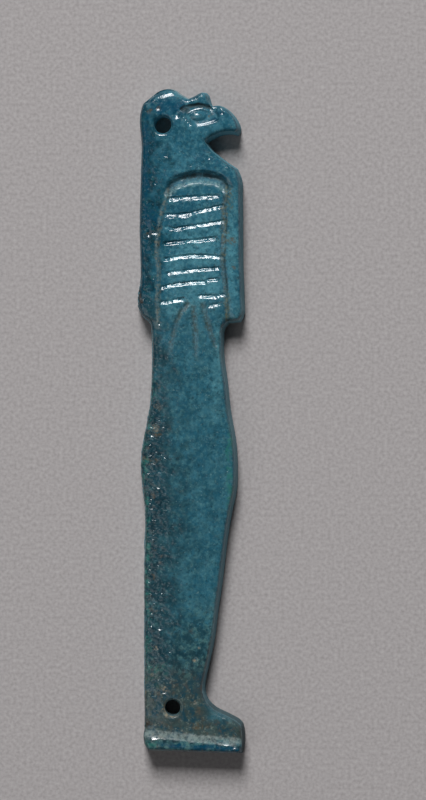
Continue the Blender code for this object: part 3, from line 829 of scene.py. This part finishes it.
def blue_glazed_faience():
    """Copper-blue alkaline glaze on a sandy quartz body: glossy, mottled, pitted down the back."""
    material = bpy.data.materials.new("blue_glazed_faience")
    material.use_nodes = True
    tree = material.node_tree
    shader = tree.nodes["Principled BSDF"]
    place = add(tree, "ShaderNodeTexCoord").outputs["Object"]

    colour = linear(BODY_COLOUR)
    for i, (hex_colour, where, size, start, full, most) in enumerate(GLAZE_LAYERS):
        mottling = add(
            tree, "ShaderNodeTexNoise",
            {"Vector": place, "W": float(i), "Scale": per_metre(size),
             "Detail": 4.0, "Roughness": 0.65},
            noise_dimensions="4D",
        )
        cover = add(
            tree, "ShaderNodeMapRange",
            {"Value": mottling.outputs["Fac"], "From Min": start, "From Max": full, "To Max": most},
            interpolation_type="SMOOTHSTEP",
        ).outputs["Result"]
        if where:
            kept = add(tree, "ShaderNodeAttribute", attribute_name=where).outputs["Fac"]
            cover = add(tree, "ShaderNodeMath", {0: cover, 1: kept}, operation="MULTIPLY").outputs[0]
        colour = add(
            tree, "ShaderNodeMix", {0: cover, 6: colour, 7: linear(hex_colour)}, data_type="RGBA",
        ).outputs[2]
    tree.links.new(colour, shader.inputs["Base Color"])

    glossiness = add(
        tree, "ShaderNodeTexNoise", {"Vector": place, "Scale": per_metre(GLOSS_SIZE), "Detail": 2.0},
    ).outputs["Fac"]
    least, most = GLOSS_ROUGHNESS
    gloss = add(
        tree, "ShaderNodeMapRange",
        {"Value": glossiness, "From Min": 0.3, "From Max": 0.8, "To Min": least, "To Max": most},
    ).outputs["Result"]
    bare = add(tree, "ShaderNodeAttribute", attribute_name="bare").outputs["Fac"]
    roughness = add(tree, "ShaderNodeMix", {0: bare, 2: gloss, 3: BARE_ROUGHNESS}).outputs[0]
    tree.links.new(roughness, shader.inputs["Roughness"])
    shader.inputs["IOR"].default_value = GLAZE_IOR
    skin = add(
        tree, "ShaderNodeTexNoise", {"Vector": place, "Scale": per_metre(SKIN_SIZE), "Detail": 2.0},
    ).outputs["Fac"]
    bump = add(
        tree, "ShaderNodeBump",
        {"Height": skin, "Strength": SKIN_STRENGTH, "Distance": SKIN_DEPTH / METRE},
    ).outputs["Normal"]
    tree.links.new(bump, shader.inputs["Normal"])
    return material


def pale_board():
    """Matt paper-covered board: a faint even tooth and no shine."""
    material = bpy.data.materials.new("pale_board")
    material.use_nodes = True
    tree = material.node_tree
    shader = tree.nodes["Principled BSDF"]
    place = add(tree, "ShaderNodeTexCoord").outputs["Object"]
    tooth = add(
        tree, "ShaderNodeTexNoise", {"Vector": place, "Scale": per_metre(BOARD_TOOTH), "Detail": 2.0},
    ).outputs["Fac"]
    dark, light = (linear(hex_colour) for hex_colour in BOARD_COLOURS)
    colour = add(
        tree, "ShaderNodeMix", {0: tooth, 6: dark, 7: light}, data_type="RGBA",
    ).outputs[2]
    tree.links.new(colour, shader.inputs["Base Color"])
    shader.inputs["Roughness"].default_value = 0.95
    shader.inputs["Specular IOR Level"].default_value = 0.1
    return material


def lay_board():
    """The board is far wider than the picture and stays out of the exported model."""
    bpy.ops.mesh.primitive_plane_add(size=BOARD_SIDE, location=(0.0, 0.0, 0.0))
    board = bpy.context.object
    board.name = "pale_board"
    board.data.materials.append(pale_board())


def set_camera():
    data = bpy.data.cameras.new("camera")
    camera = bpy.data.objects.new("camera", data)
    bpy.context.scene.collection.objects.link(camera)
    camera.location = CAMERA_AIM + Vector((CAMERA_HEIGHT * math.tan(CAMERA_TILT), 0.0, CAMERA_HEIGHT))
    camera.rotation_euler = (0.0, CAMERA_TILT, 0.0)
    data.sensor_width = 36.0
    data.lens = data.sensor_width * CAMERA_HEIGHT / math.cos(CAMERA_TILT) / PICTURE_SPAN
    bpy.context.scene.camera = camera


def soft_lamp(name, azimuth, elevation, away, size, watts):
    """A rectangular lamp aimed at the figure. Azimuth 0 is beyond its head, in degrees."""
    turn, lift = math.radians(azimuth), math.radians(elevation)
    place = away * Vector((
        math.sin(turn) * math.cos(lift), math.cos(turn) * math.cos(lift), math.sin(lift),
    ))
    data = bpy.data.lights.new(name, "AREA")
    data.shape = "RECTANGLE"
    data.size, data.size_y = size
    data.energy = watts
    lamp = bpy.data.objects.new(name, data)
    bpy.context.scene.collection.objects.link(lamp)
    lamp.location = place
    lamp.rotation_euler = (-place).to_track_quat("-Z", "Y").to_euler()


def light_scene():
    """A key lamp beyond the head, a weak fill from the left of the feet, and a dim grey room."""
    for lamp in LAMPS:
        soft_lamp(*lamp)
    world = bpy.data.worlds.new("studio")
    bpy.context.scene.world = world
    world.use_nodes = True
    background = world.node_tree.nodes["Background"]
    background.inputs["Color"].default_value = ROOM_LIGHT
    background.inputs["Strength"].default_value = ROOM_STRENGTH
    bpy.context.scene.view_settings.view_transform = "Standard"


set_camera()
light_scene()
lay_board()
amulet = shape_amulet()
amulet.data.materials.append(blue_glazed_faience())
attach(amulet, "root")
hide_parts("falcon_headed_amulet")
